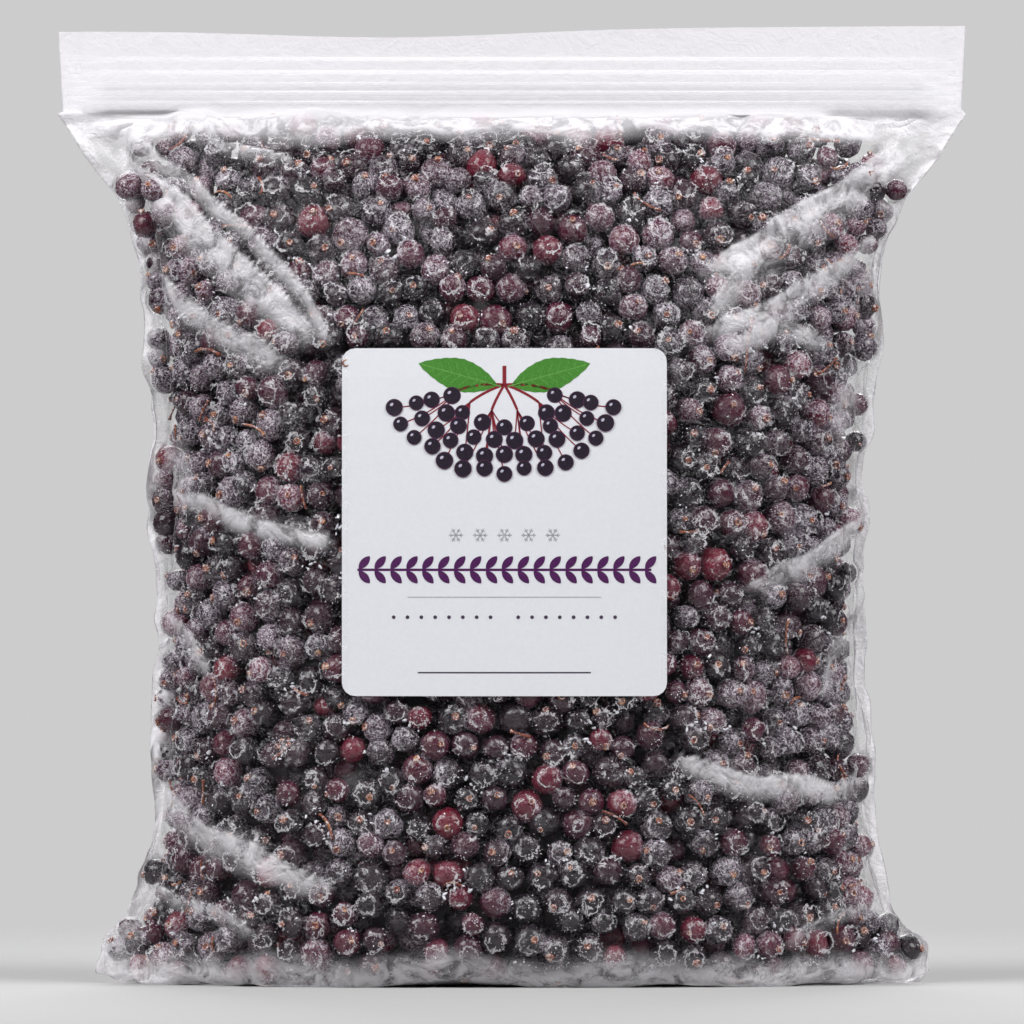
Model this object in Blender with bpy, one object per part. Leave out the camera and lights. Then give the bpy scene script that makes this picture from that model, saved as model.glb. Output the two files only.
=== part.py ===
"""A clear press-to-close bag of frozen elderberries, standing on its flattened base.

Metres, +Z up. The origin is on the floor under the middle of the bag, the label faces -Y.
"""

import math
import random

import bmesh
import bpy
from mathutils import Vector

# The film bag
BAG_HEIGHT = 0.280
FILM = 0.00025  # wall of the film
SIDE_SEAL = 0.0055  # width of the welded strip down each side
SLIT = 0.0001  # half of the gap left where the two walls meet at a side seal
LIP_GAP = 0.0016  # half of the space between the two lips, where the zip sits
LIP_END = 60  # how late the lips close towards the side seals
MOUTH_BOTTOM = 0.2545  # below this the walls part around the berries
POINTS_ACROSS = 23
BED_TOP = 0.2400  # top of the frozen mass of berries
# Height, half width over the seals, half depth inside, and the two powers that shape the
# section: how flat its face is, and how sharp its corners are
STATIONS = (
    (0.0000, 0.1250, 0.0410, 3.2, 1.00),
    (0.0020, 0.1247, 0.0445, 3.2, 1.00),
    (0.0060, 0.1236, 0.0476, 3.2, 1.00),
    (0.0120, 0.1208, 0.0492, 3.1, 0.94),
    (0.0180, 0.1163, 0.0499, 3.0, 0.84),
    (0.0240, 0.1118, 0.0501, 2.8, 0.72),
    (0.0330, 0.1098, 0.0503, 2.7, 0.64),
    (0.0540, 0.1074, 0.0504, 2.6, 0.60),
    (0.0830, 0.1058, 0.0502, 2.6, 0.60),
    (0.1120, 0.1057, 0.0496, 2.6, 0.60),
    (0.1400, 0.1062, 0.0485, 2.6, 0.60),
    (0.1660, 0.1070, 0.0468, 2.6, 0.61),
    (0.1880, 0.1082, 0.0444, 2.6, 0.63),
    (0.2060, 0.1102, 0.0410, 2.6, 0.67),
    (0.2200, 0.1124, 0.0365, 2.5, 0.74),
    (0.2310, 0.1156, 0.0310, 2.5, 0.85),
    (BED_TOP, 0.1226, 0.0232, 2.4, 1.00),
    (0.2450, 0.1269, 0.0165, 2.4, 1.08),
    (0.2500, 0.1302, 0.0090, 2.4, 1.16),
    (MOUTH_BOTTOM, 0.1325, 0.0016, 2.4, 1.20),
    (0.2660, 0.1334, 0.0016, 2.4, 1.20),
    (BAG_HEIGHT, 0.1340, 0.0016, 2.4, 1.20),
)
LIP_DIP = 0.0024  # how far the lips' edge dips left of the middle
LIP_DIP_AT = -0.034
LIP_DIP_WIDTH = 0.030
LIP_BASE = 0.2660  # the lips are straight up to here

# The zip: two extruded strips that snap together, each with two ribs
ZIP_MIDDLE = 0.2600
ZIP_HALF_LENGTH = 0.1200
ZIP_HALF_HEIGHT = 0.0046
ZIP_FACE = 0.00125  # outer face of each strip, from the middle plane
ZIP_BASE = 0.0003  # thickness of the flat strip
RIB_SPACING = 0.0044
RIB_CLEARANCE = 0.00015
STEM_HALF = 0.00025
HEAD_HALF = 0.00055

# The label
LABEL_WIDTH = 0.0940
LABEL_HEIGHT = 0.1006
LABEL_CENTRE = (-0.0022, 0.1349)
LABEL_CORNER = 0.0038
LABEL_THICKNESS = 0.0002
LABEL_CELLS = 12

# The fill
GAP = 0.0004  # clearance between pieces that touch
BERRY_COUNT = 18
BERRY_RADIUS = (0.0039, 0.0044)
BERRY_PITCH = 0.0093
STALK_RADIUS = 0.00045
STALKS = (  # middle across, front or back, length, height of the arch
    (-0.066, -1, 0.016, 0.0010),
    (-0.018, -1, 0.012, 0.0006),
    (0.037, -1, 0.019, 0.0012),
    (-0.045, 1, 0.017, 0.0008),
    (0.012, 1, 0.013, 0.0010),
    (0.060, 1, 0.018, 0.0007),
)
STALK_ASIDE = 0.0078  # how far a stalk lies from the middle plane


def clear_scene():
    for obj in list(bpy.data.objects):
        bpy.data.objects.remove(obj)


def material(name, colour, roughness, metallic=0.0, alpha=1.0):
    mat = bpy.data.materials.new(name)
    mat.use_nodes = True
    shader = mat.node_tree.nodes["Principled BSDF"]
    shader.inputs["Base Color"].default_value = (*colour, 1.0)
    shader.inputs["Roughness"].default_value = roughness
    shader.inputs["Metallic"].default_value = metallic
    shader.inputs["Alpha"].default_value = alpha
    return mat


def add_object(name, bm, mat, smooth_angle=None):
    """Makes a named object of the bmesh, with its faces pointing out."""
    bmesh.ops.recalc_face_normals(bm, faces=bm.faces)
    mesh = bpy.data.meshes.new(name)
    bm.to_mesh(mesh)
    bm.free()
    mesh.materials.append(mat)
    if smooth_angle is not None:
        mesh.shade_smooth()
        mesh.set_sharp_from_angle(angle=smooth_angle)
    obj = bpy.data.objects.new(name, mesh)
    bpy.context.scene.collection.objects.link(obj)
    return obj


def section_at(height):
    """The station values at a height, on a smooth curve through the table."""
    last = len(STATIONS) - 1
    i = 0
    while i < last - 1 and height > STATIONS[i + 1][0]:
        i += 1
    low, high = STATIONS[i], STATIONS[i + 1]
    before, after = STATIONS[max(i - 1, 0)], STATIONS[min(i + 2, last)]
    step = high[0] - low[0]
    t = (height - low[0]) / step
    values = []
    for column in range(1, len(low)):
        start_slope = (high[column] - before[column]) / (high[0] - before[0])
        end_slope = (after[column] - low[column]) / (after[0] - low[0])
        values.append(
            low[column] * (1 + 2 * t) * (1 - t) ** 2
            + start_slope * step * t * (1 - t) ** 2
            + high[column] * t * t * (3 - 2 * t)
            + end_slope * step * t * t * (t - 1)
        )
    return values


def inside_depth(across, height):
    """Half of the free space between the front and back walls, at a place on the bag."""
    half_width, half_depth, flatness, sharpness = section_at(height)
    share = min(abs(across) / (half_width - SIDE_SEAL), 1.0)
    lips = LIP_GAP * (1 - share**LIP_END) ** 0.5
    bulge = (half_depth - LIP_GAP) * (1 - share**flatness) ** sharpness
    return max(lips + max(bulge, 0.0), SLIT)


def lip_height(across, height):
    """Height with the soft dip in the lips' upper edge."""
    if height <= LIP_BASE:
        return height
    dip = LIP_DIP * math.exp(-(((across - LIP_DIP_AT) / LIP_DIP_WIDTH) ** 2))
    return height - dip * (height - LIP_BASE) / (BAG_HEIGHT - LIP_BASE)


def spaced(half_width, count):
    """Places across the bag, closer together towards the side seals."""
    return [half_width * math.sin(math.pi * (i / (count - 1) - 0.5)) for i in range(count)]


def ring(bm, places, depth_of, height, seal_edge=None):
    """One closed loop: along the front from left to right, and back along the rear wall."""
    front = [(x, -depth_of(x)) for x in places]
    back = [(x, depth_of(x)) for x in reversed(places)]
    if seal_edge is not None:
        edge = SLIT + FILM
        front = [(-seal_edge, -edge), *front, (seal_edge, -edge)]
        back = [(seal_edge, edge), *back, (-seal_edge, edge)]
    return [bm.verts.new((x, y, lip_height(x, height))) for x, y in front + back]


def join_rings(bm, rings):
    for lower, upper in zip(rings, rings[1:]):
        for i in range(len(lower)):
            j = (i + 1) % len(lower)
            bm.faces.new((lower[i], lower[j], upper[j], upper[i]))


def film_rings(bm, outside):
    """The outer or the inner surface of the film, from the floor to the lips."""
    rings = []
    for height, half_width, *_ in STATIONS:
        places = spaced(half_width - SIDE_SEAL, POINTS_ACROSS)
        wall = FILM if outside else 0.0
        edge = half_width if outside else None
        at = height if outside or height > 0 else FILM
        rings.append(ring(bm, places, lambda x: inside_depth(x, height) + wall, at, edge))
    return rings


def close_mouth(bm, outer, inner):
    """The rim of the two lips, and the welded ends beside the mouth."""
    for k in range(POINTS_ACROSS - 1):
        for o, i in ((k + 1, k), (k + POINTS_ACROSS + 3, k + POINTS_ACROSS)):
            bm.faces.new((outer[o], outer[o + 1], inner[i + 1], inner[i]))
    n = POINTS_ACROSS
    bm.faces.new((outer[-1], outer[0], outer[1], inner[0], inner[-1], outer[-2]))
    bm.faces.new((outer[n], outer[n + 1], outer[n + 2], outer[n + 3], inner[n], inner[n - 1]))


def build_film(mat):
    """Front and back walls, side seals and flattened base: one folded and welded film."""
    bm = bmesh.new()
    outer = film_rings(bm, outside=True)
    inner = film_rings(bm, outside=False)
    join_rings(bm, outer)
    join_rings(bm, inner)
    bm.faces.new(outer[0])
    bm.faces.new(inner[0])
    close_mouth(bm, outer[-1], inner[-1])
    return add_object("bag_film", bm, mat, math.radians(40))


def extrude_profile(name, outline, mat):
    """A strip along X with the (y, z) outline as its section."""
    bm = bmesh.new()
    start = [bm.verts.new((-ZIP_HALF_LENGTH, y, z)) for y, z in outline]
    face = bm.faces.new(start)
    grown = bmesh.ops.extrude_face_region(bm, geom=[face])
    moved = [v for v in grown["geom"] if isinstance(v, bmesh.types.BMVert)]
    bmesh.ops.translate(bm, verts=moved, vec=(2 * ZIP_HALF_LENGTH, 0, 0))
    return add_object(name, bm, mat)


def build_zip_back(mat):
    """The strip with the two arrow-shaped ribs, on the back wall."""
    plate = ZIP_FACE - ZIP_BASE
    tip = -0.00055
    barb = 0.0
    outline = [(ZIP_FACE, -ZIP_HALF_HEIGHT), (plate, -ZIP_HALF_HEIGHT)]
    for middle in (-RIB_SPACING / 2, RIB_SPACING / 2):
        outline += [
            (plate, middle - STEM_HALF),
            (barb, middle - STEM_HALF),
            (barb, middle - HEAD_HALF),
            (tip, middle - STEM_HALF),
            (tip, middle + STEM_HALF),
            (barb, middle + HEAD_HALF),
            (barb, middle + STEM_HALF),
            (plate, middle + STEM_HALF),
        ]
    outline += [(plate, ZIP_HALF_HEIGHT), (ZIP_FACE, ZIP_HALF_HEIGHT)]
    return extrude_profile("zip_track_back", [(y, z + ZIP_MIDDLE) for y, z in outline], mat)


def build_zip_front(mat):
    """The strip with the two hooked channels that hold the ribs, on the front wall."""
    plate = -ZIP_FACE + ZIP_BASE
    cavity = HEAD_HALF + RIB_CLEARANCE
    throat = STEM_HALF + RIB_CLEARANCE
    jaw = cavity + 0.0004
    hook, mouth = RIB_CLEARANCE, 0.00045
    outline = [(-ZIP_FACE, -ZIP_HALF_HEIGHT), (plate, -ZIP_HALF_HEIGHT)]
    for middle in (-RIB_SPACING / 2, RIB_SPACING / 2):
        outline += [
            (plate, middle - jaw),
            (mouth, middle - jaw),
            (mouth, middle - throat),
            (hook, middle - throat),
            (hook, middle - cavity),
            (plate, middle - cavity),
            (plate, middle + cavity),
            (hook, middle + cavity),
            (hook, middle + throat),
            (mouth, middle + throat),
            (mouth, middle + jaw),
            (plate, middle + jaw),
        ]
    outline += [(plate, ZIP_HALF_HEIGHT), (-ZIP_FACE, ZIP_HALF_HEIGHT)]
    return extrude_profile("zip_track_front", [(y, z + ZIP_MIDDLE) for y, z in outline], mat)


def build_label(mat):
    """A paper label with rounded corners, bent over the front wall."""
    bm = bmesh.new()
    bmesh.ops.create_grid(bm, x_segments=LABEL_CELLS, y_segments=LABEL_CELLS, size=0.5)
    bmesh.ops.scale(bm, vec=(LABEL_WIDTH, LABEL_HEIGHT, 1), verts=bm.verts)
    corners = [v for v in bm.verts if len(v.link_faces) == 1]
    bmesh.ops.bevel(
        bm,
        geom=corners,
        offset=LABEL_CORNER,
        affect="VERTICES",
        segments=4,
        profile=0.5,
        material=-1,
    )
    grown = bmesh.ops.extrude_face_region(bm, geom=bm.faces[:])
    outside = {v for v in grown["geom"] if isinstance(v, bmesh.types.BMVert)}
    for v in bm.verts:
        x = LABEL_CENTRE[0] + v.co.x
        z = LABEL_CENTRE[1] + v.co.y
        y = -inside_depth(x, z) - FILM - GAP
        v.co = Vector((x, y - (LABEL_THICKNESS if v in outside else 0.0), z))
    return add_object("label", bm, mat, math.radians(40))


def build_bed(mat):
    """The frozen mass of berries that fills the bag, a little smaller than its inside."""
    bm = bmesh.new()
    rings = []
    for height, half_width, *_ in STATIONS:
        if height > BED_TOP:
            break
        places = spaced(half_width - SIDE_SEAL, POINTS_ACROSS)[1:-1]
        at = max(height, FILM + GAP)
        rings.append(ring(bm, places, lambda x: inside_depth(x, height) - GAP, at))
    join_rings(bm, rings)
    bm.faces.new(rings[0])
    bm.faces.new(rings[-1])
    return add_object("berry_bed", bm, mat, math.radians(40))


def build_loose_berries(mat):
    """The top course: single berries side by side on the bed, under the zip."""
    rng = random.Random(5)
    for i in range(BERRY_COUNT):
        radius = rng.uniform(*BERRY_RADIUS)
        x = (i - (BERRY_COUNT - 1) / 2) * BERRY_PITCH
        bm = bmesh.new()
        bmesh.ops.create_icosphere(bm, subdivisions=2, radius=radius)
        bmesh.ops.scale(bm, vec=(1, 1, rng.uniform(0.94, 1.0)), verts=bm.verts)
        obj = add_object(f"berry_{i + 1:02d}", bm, mat, math.radians(60))
        obj.location = (x, rng.uniform(-0.0012, 0.0012), BED_TOP + GAP + radius)
        obj.rotation_euler = (0, 0, rng.uniform(0, math.tau))


def build_stalks(mat):
    """Short broken berry stalks, lying on the bed beside the top course."""
    for i, (middle, side, length, arch) in enumerate(STALKS):
        curve = bpy.data.curves.new(f"stalk_{i + 1:02d}", "CURVE")
        curve.dimensions = "3D"
        curve.bevel_depth = STALK_RADIUS
        curve.bevel_resolution = 1
        curve.use_fill_caps = True
        spline = curve.splines.new("POLY")
        steps = 7
        spline.points.add(steps - 1)
        floor = BED_TOP + GAP + STALK_RADIUS
        for k in range(steps):
            t = k / (steps - 1)
            x = middle + (t - 0.5) * length
            z = floor + arch * math.sin(math.pi * t)
            spline.points[k].co = (x, side * STALK_ASIDE, z, 1)
        curve.materials.append(mat)
        obj = bpy.data.objects.new(f"stalk_{i + 1:02d}", curve)
        bpy.context.scene.collection.objects.link(obj)


def main():
    clear_scene()
    film = material("clear_film", (0.90, 0.90, 0.92), 0.15, alpha=0.3)
    zip_plastic = material("zip_plastic", (0.93, 0.93, 0.94), 0.3)
    paper = material("label_paper", (0.86, 0.87, 0.89), 0.5)
    frozen = material("frozen_berries", (0.045, 0.022, 0.040), 0.45)
    berry_skin = material("berry_skin", (0.060, 0.012, 0.030), 0.35)
    stalk = material("dry_stalk", (0.33, 0.11, 0.05), 0.7)
    build_film(film)
    build_zip_front(zip_plastic)
    build_zip_back(zip_plastic)
    build_label(paper)
    build_bed(frozen)
    build_loose_berries(berry_skin)
    build_stalks(stalk)


main()
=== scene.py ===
import math

import bmesh
import bpy
import numpy as np
from mathutils import Matrix, Vector, noise
from mathutils.bvhtree import BVHTree
from mathutils.kdtree import KDTree


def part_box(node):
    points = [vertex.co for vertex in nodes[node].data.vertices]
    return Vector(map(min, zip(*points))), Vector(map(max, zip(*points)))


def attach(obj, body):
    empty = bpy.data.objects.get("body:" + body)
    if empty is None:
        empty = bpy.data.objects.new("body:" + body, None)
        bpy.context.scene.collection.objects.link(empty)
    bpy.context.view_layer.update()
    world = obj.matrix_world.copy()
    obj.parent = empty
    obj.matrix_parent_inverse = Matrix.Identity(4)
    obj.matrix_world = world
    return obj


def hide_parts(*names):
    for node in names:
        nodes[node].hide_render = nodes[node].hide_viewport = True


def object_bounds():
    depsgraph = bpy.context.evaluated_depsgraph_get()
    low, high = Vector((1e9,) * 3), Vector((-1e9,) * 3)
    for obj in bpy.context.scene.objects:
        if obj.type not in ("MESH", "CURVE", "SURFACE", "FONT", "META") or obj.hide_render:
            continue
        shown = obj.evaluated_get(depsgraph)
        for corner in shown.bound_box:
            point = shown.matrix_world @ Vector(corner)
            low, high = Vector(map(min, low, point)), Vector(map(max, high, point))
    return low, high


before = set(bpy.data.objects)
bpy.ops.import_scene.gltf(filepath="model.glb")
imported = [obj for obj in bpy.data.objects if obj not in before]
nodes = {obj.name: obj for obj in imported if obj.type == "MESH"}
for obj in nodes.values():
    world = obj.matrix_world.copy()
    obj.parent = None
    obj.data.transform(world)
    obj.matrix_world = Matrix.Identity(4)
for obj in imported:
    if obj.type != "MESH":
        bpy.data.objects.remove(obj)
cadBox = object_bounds()
scene = bpy.context.scene
print("frame loaded")


# Studio: camera, floor, light

studio = {
    "distance": 4.0,
    "frameWidth": 0.2996,  # what the camera takes in at the middle of the bag
    "aim": (0.0, 0.0, 0.1378),
    "pale": (0.604, 0.604, 0.604, 1),
    "floorRadius": 2.2,
    "floorFade": (0.20, 0.62),  # the floor melts into the pale surround between these
    "ambient": (0.045, 0.045, 0.050, 1),  # what lights and mirrors in the bag from the surround itself
}

softboxes = {
    # place, power in watts, width, height, what it is turned to
    "left": ((-1.05, -0.75, 1.15), 26.0, 0.90, 0.90, (0, 0, 0.14)),
    "right": ((1.05, -0.75, 1.15), 24.0, 0.90, 0.90, (0, 0, 0.14)),
    "back": ((0.0, 1.60, 1.00), 22.0, 1.2, 0.8, (0, 0, 0.14)),
}


class Wire:  # a node's output, so that shader maths reads as sums
    def __init__(self, paint, socket):
        self.paint, self.socket = paint, socket

    def maths(self, operation, first, second=0.0):
        return self.paint.node("ShaderNodeMath", {"operation": operation}, {0: first, 1: second})

    def __add__(self, other):
        return self.maths("ADD", self, other)

    def __sub__(self, other):
        return self.maths("SUBTRACT", self, other)

    def __rsub__(self, other):
        return self.maths("SUBTRACT", other, self)

    def __mul__(self, other):
        return self.maths("MULTIPLY", self, other)

    def __pow__(self, other):
        return self.maths("POWER", self, other)

    def atLeast(self, other):
        return self.maths("MAXIMUM", self, other)

    def atMost(self, other):
        return self.maths("MINIMUM", self, other)

    def between(self, low, high, bottom=0.0, top=1.0):  # eases from bottom to top as the value passes low to high
        return self.paint.node(
            "ShaderNodeMapRange",
            {"interpolation_type": "SMOOTHSTEP"},
            {"Value": self, "From Min": low, "From Max": high, "To Min": bottom, "To Max": top},
        )

    __radd__ = __add__
    __rmul__ = __mul__


class Paint:  # a material and the nodes in it
    def __init__(self, name):
        self.material = bpy.data.materials.new(name)
        self.material.use_nodes = True
        self.tree = self.material.node_tree
        self.tree.nodes.clear()

    def node(self, kind, settings=None, inputs=None, output=0):
        made = self.tree.nodes.new(kind)
        for name, value in (settings or {}).items():
            if name == "stops":
                ramp = made.color_ramp
                ramp.elements.remove(ramp.elements[1])
                ramp.elements[0].position, ramp.elements[0].color = value[0]
                for place, colour in value[1:]:
                    ramp.elements.new(place).color = colour
            else:
                setattr(made, name, value)
        for name, value in (inputs or {}).items():
            if isinstance(value, Wire):
                self.tree.links.new(value.socket, made.inputs[name])
            else:
                made.inputs[name].default_value = value
        return Wire(self, made.outputs[output]) if made.outputs else None

    def place(self):
        return self.node("ShaderNodeTexCoord", output="Object")

    def height(self):
        return self.node("ShaderNodeSeparateXYZ", None, {0: self.place()}, output=2)

    def cloud(self, scale, detail=2.0, roughness=0.5, distortion=0.0, kind="FBM", at=None):
        inputs = {"Vector": at or self.place(), "Scale": scale, "Detail": detail,
                  "Roughness": roughness, "Distortion": distortion}
        return self.node("ShaderNodeTexNoise", {"noise_type": kind}, inputs)

    def cells(self, scale, feature="F1", output=0):
        return self.node("ShaderNodeTexVoronoi", {"feature": feature}, {"Vector": self.place(), "Scale": scale}, output)

    def share(self, name):  # a number that each point of the piece carries
        return self.node("ShaderNodeAttribute", {"attribute_name": name}, output="Fac")

    def blend(self, factor, first, second):
        return self.node("ShaderNodeMix", {"data_type": "RGBA"}, {0: factor, 6: first, 7: second}, output=2)

    def ramp(self, factor, stops):
        return self.node("ShaderNodeValToRGB", {"stops": stops}, {0: factor})

    def bump(self, height, strength, distance):
        return self.node("ShaderNodeBump", None, {"Height": height, "Strength": strength, "Distance": distance})

    def surface(self, inputs):
        return self.node("ShaderNodeBsdfPrincipled", None, inputs)

    def mixShader(self, factor, first, second):
        return self.node("ShaderNodeMixShader", None, {0: factor, 1: first, 2: second})

    def finish(self, shader):
        self.node("ShaderNodeOutputMaterial", None, {0: shader})
        return self.material


def finishMesh(name, bm, material, smooth=True):
    mesh = bpy.data.meshes.new(name)
    bm.to_mesh(mesh)
    bm.free()
    for face in mesh.polygons:
        face.use_smooth = smooth
    mesh.materials.append(material)
    made = bpy.data.objects.new(name, mesh)
    scene.collection.objects.link(made)
    return made


def addCamera():
    lens = bpy.data.cameras.new("camera")
    lens.lens = lens.sensor_width * studio["distance"] / studio["frameWidth"]
    lens.clip_end = 50
    made = bpy.data.objects.new("camera", lens)
    scene.collection.objects.link(made)
    made.location = Vector(studio["aim"]) + Vector((0, -studio["distance"], 0))
    made.rotation_euler = (math.radians(90), 0, 0)
    scene.camera = made


def addFloor():
    paint = Paint("paleFloor")
    away = paint.node("ShaderNodeVectorMath", {"operation": "LENGTH"}, {0: paint.place()}, output="Value")
    floorColour = paint.surface({"Base Color": (0.50, 0.50, 0.50, 1), "Roughness": 0.9,
                                 "Specular IOR Level": 0.1})
    clear = paint.node("ShaderNodeBsdfTransparent")
    material = paint.finish(paint.mixShader(away.between(*studio["floorFade"]), floorColour, clear))
    bm = bmesh.new()
    bmesh.ops.create_circle(bm, cap_ends=True, segments=64, radius=studio["floorRadius"])
    finishMesh("floor", bm, material, smooth=False)


def addLights():
    world = bpy.data.worlds.new("surround")
    scene.world = world
    scene.cycles.max_bounces = scene.cycles.diffuse_bounces = 3  # enough for dark berries in thin film
    scene.cycles.transparent_max_bounces = 6
    world.use_nodes = True
    tree = world.node_tree
    tree.nodes.clear()
    shown, lit = tree.nodes.new("ShaderNodeBackground"), tree.nodes.new("ShaderNodeBackground")
    shown.inputs[0].default_value, lit.inputs[0].default_value = studio["pale"], studio["ambient"]
    path, mix = tree.nodes.new("ShaderNodeLightPath"), tree.nodes.new("ShaderNodeMixShader")
    out = tree.nodes.new("ShaderNodeOutputWorld")
    tree.links.new(path.outputs["Is Camera Ray"], mix.inputs[0])
    tree.links.new(lit.outputs[0], mix.inputs[1])
    tree.links.new(shown.outputs[0], mix.inputs[2])
    tree.links.new(mix.outputs[0], out.inputs[0])
    for name, (place, power, width, tall, target) in softboxes.items():
        lamp = bpy.data.lights.new(name, "AREA")
        lamp.shape = "RECTANGLE"
        lamp.size, lamp.size_y = width, tall
        lamp.energy = power
        made = bpy.data.objects.new(name, lamp)
        scene.collection.objects.link(made)
        made.location = place
        made.rotation_euler = (Vector(target) - Vector(place)).to_track_quat("-Z", "Y").to_euler()
        made.visible_camera = False


addCamera()
addFloor()
addLights()
scene.view_settings.view_transform = "Standard"
print("studio ready")


# The bag's form, read from its CAD shell

bagFilm = {
    "across": 96,  # squares across one wall, before it is refined
    "upward": 118,
    "lipRows": 10,
    "flatHalfWidth": 0.1345,  # the wall as cut, lying flat
    "flatHeight": 0.3520,
    "mouth": 0.2545,
    "lipDip": 0.0023,  # of the mouth's edge, left of the middle
    "lipTilt": 0.0017,
    # height and reach of the side seams below the mouth
    "slope": ((0.2180, 0.1118), (0.2235, 0.1128), (0.2300, 0.1153), (0.2365, 0.1210), (0.2430, 0.1258), (0.2500, 0.1300), (0.2545, 0.1332)),
    "sealColumns": 2,
    "sealHalf": 0.00014,
    "looseWaves": ((0.030, 0.0060), (0.010, 0.0010)),  # length and height of the slack put in
    "coreInset": 0.0016,
    "coreTop": 0.2520,
    "coreWidth": 0.985,
    "coreLumps": (0.012, 0.0014),
    "frames": 16,
    "edgeGrip": 0.009,  # the side seals are held this wide at the shoulders and at the ears
    "shoulders": (0.214, 0.238),
    "ears": 0.042,
    "bending": 14,
    "simScale": 10,  # the cloth solver is steadier on something metres wide
    "floorGap": 0.0002,
}


def treeOf(mesh):
    bm = bmesh.new()
    bm.from_mesh(mesh)
    tree = BVHTree.FromBMesh(bm)
    bm.free()
    return tree


def ray(tree, start, direction):
    return tree.ray_cast(Vector(start), Vector(direction))[0]


def readForm():
    # for each height, the places of equal steps along the outside of the front wall
    shell = treeOf(nodes["bag_film"].data)
    heights = np.concatenate([[0.0006], np.linspace(0.002, bagFilm["mouth"], 90)])
    sideways, depth = [], []
    for z in heights:
        half = ray(shell, (0.2, 0, z), (-1, 0, 0)).x
        x = half * np.clip(np.linspace(-1, 1, 241), -0.9995, 0.9995)
        y = np.array([-ray(shell, (v, -0.2, z), (0, 1, 0)).y for v in x])
        run = np.concatenate([[0], np.cumsum(np.hypot(np.diff(x), np.diff(y)))])
        steps = np.linspace(0, run[-1], bagFilm["across"] + 1)
        sideways.append(np.interp(steps, run, x))
        depth.append(np.interp(steps, run, y))
    return heights, np.array(sideways), np.array(depth)


formHeights, formX, formDepth = readForm()


def halfDepth(x, z):  # of the bag at a place in its outline, from the form
    row = np.clip(np.searchsorted(formHeights, z), 1, len(formHeights) - 1)
    t = np.clip((z - formHeights[row - 1]) / (formHeights[row] - formHeights[row - 1]), 0, 1)
    low = np.interp(abs(x), formX[row - 1][::1], formDepth[row - 1], left=0, right=0)
    high = np.interp(abs(x), formX[row], formDepth[row], left=0, right=0)
    return low * (1 - t) + high * t


def evenly(points, count):
    run = np.concatenate([[0], np.cumsum(np.linalg.norm(np.diff(points, axis=0), axis=1))])
    steps = np.linspace(0, run[-1], count)
    return np.stack([np.interp(steps, run, points[:, k]) for k in range(3)], 1)


def layOutWall():
    # one wall, twice: wrapped round the berries, and flat as it was cut
    across, upward, lipRows = bagFilm["across"], bagFilm["upward"], bagFilm["lipRows"]
    bodyRows = upward - lipRows + 1
    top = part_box("bag_film")[1].z
    lip = top - bagFilm["mouth"]
    wrapped = np.zeros((upward + 1, across + 1, 3))
    for j in range(across + 1):
        line = [(formX[0, j], 0, 0.0004), (formX[0, j], -formDepth[0, j], 0.0004)]
        line += [(formX[i, j], -formDepth[i, j], z) for i, z in enumerate(formHeights)]
        wrapped[:bodyRows, j] = evenly(np.array(line), bodyRows)
    for i in range(bodyRows, upward + 1):
        t = (i - bodyRows + 1) / lipRows
        wrapped[i, :, 0] = formX[-1] * (1 + 0.010 * t)
        wrapped[i, :, 1] = -formDepth[-1]
        wrapped[i, :, 2] = bagFilm["mouth"] + t * lip
    flat = np.zeros_like(wrapped)
    flat[:, :, 0] = np.linspace(-1, 1, across + 1) * bagFilm["flatHalfWidth"]
    bodyHeight = bagFilm["flatHeight"] - lip
    rises = np.concatenate([np.linspace(0, bodyHeight, bodyRows),
                            bodyHeight + np.linspace(0, lip, lipRows + 1)[1:]])
    flat[:, :, 2] = rises[:, None]
    return wrapped, flat


def gridWall(bm, places, turned):
    across, upward = bagFilm["across"], bagFilm["upward"]
    index = {}
    for v in bmesh.ops.create_grid(bm, x_segments=across, y_segments=upward, size=1)["verts"]:
        i, j = round((v.co.y + 1) / 2 * upward), round((v.co.x + 1) / 2 * across)
        x, y, z = places[i, j]
        v.co = (x, y * turned, z)
        index[i, j] = v
    return index


def coreOf(bm, scale):
    # the lumpy frozen mass that the film falls on
    core = bm.copy()
    bmesh.ops.recalc_face_normals(core, faces=core.faces)
    inset = bagFilm["coreInset"]
    for v in core.verts:
        v.co.y *= max(1 - inset / max(abs(v.co.y), 1e-6), 0.3)
        v.co.x *= bagFilm["coreWidth"]
        v.co.z += inset * (1 - v.co.z / bagFilm["coreTop"])
    cut = bmesh.ops.bisect_plane(core, geom=core.verts[:] + core.edges[:] + core.faces[:], clear_outer=True,
                                 plane_co=(0, 0, bagFilm["coreTop"]), plane_no=(0, 0, 1))
    bmesh.ops.holes_fill(core, edges=[e for e in cut["geom_cut"] if isinstance(e, bmesh.types.BMEdge)], sides=0)
    core.normal_update()
    wave, rise = bagFilm["coreLumps"]
    for v in core.verts:
        v.co += v.normal * (noise.noise(v.co / wave) * rise - rise / 2)
    bmesh.ops.scale(core, vec=(scale,) * 3, verts=core.verts)
    mesh = bpy.data.meshes.new("core")
    core.to_mesh(mesh)
    core.free()
    made = bpy.data.objects.new("core", mesh)
    scene.collection.objects.link(made)
    made.modifiers.new("hit", "COLLISION")
    made.collision.thickness_outer = 0.01
    return made


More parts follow.
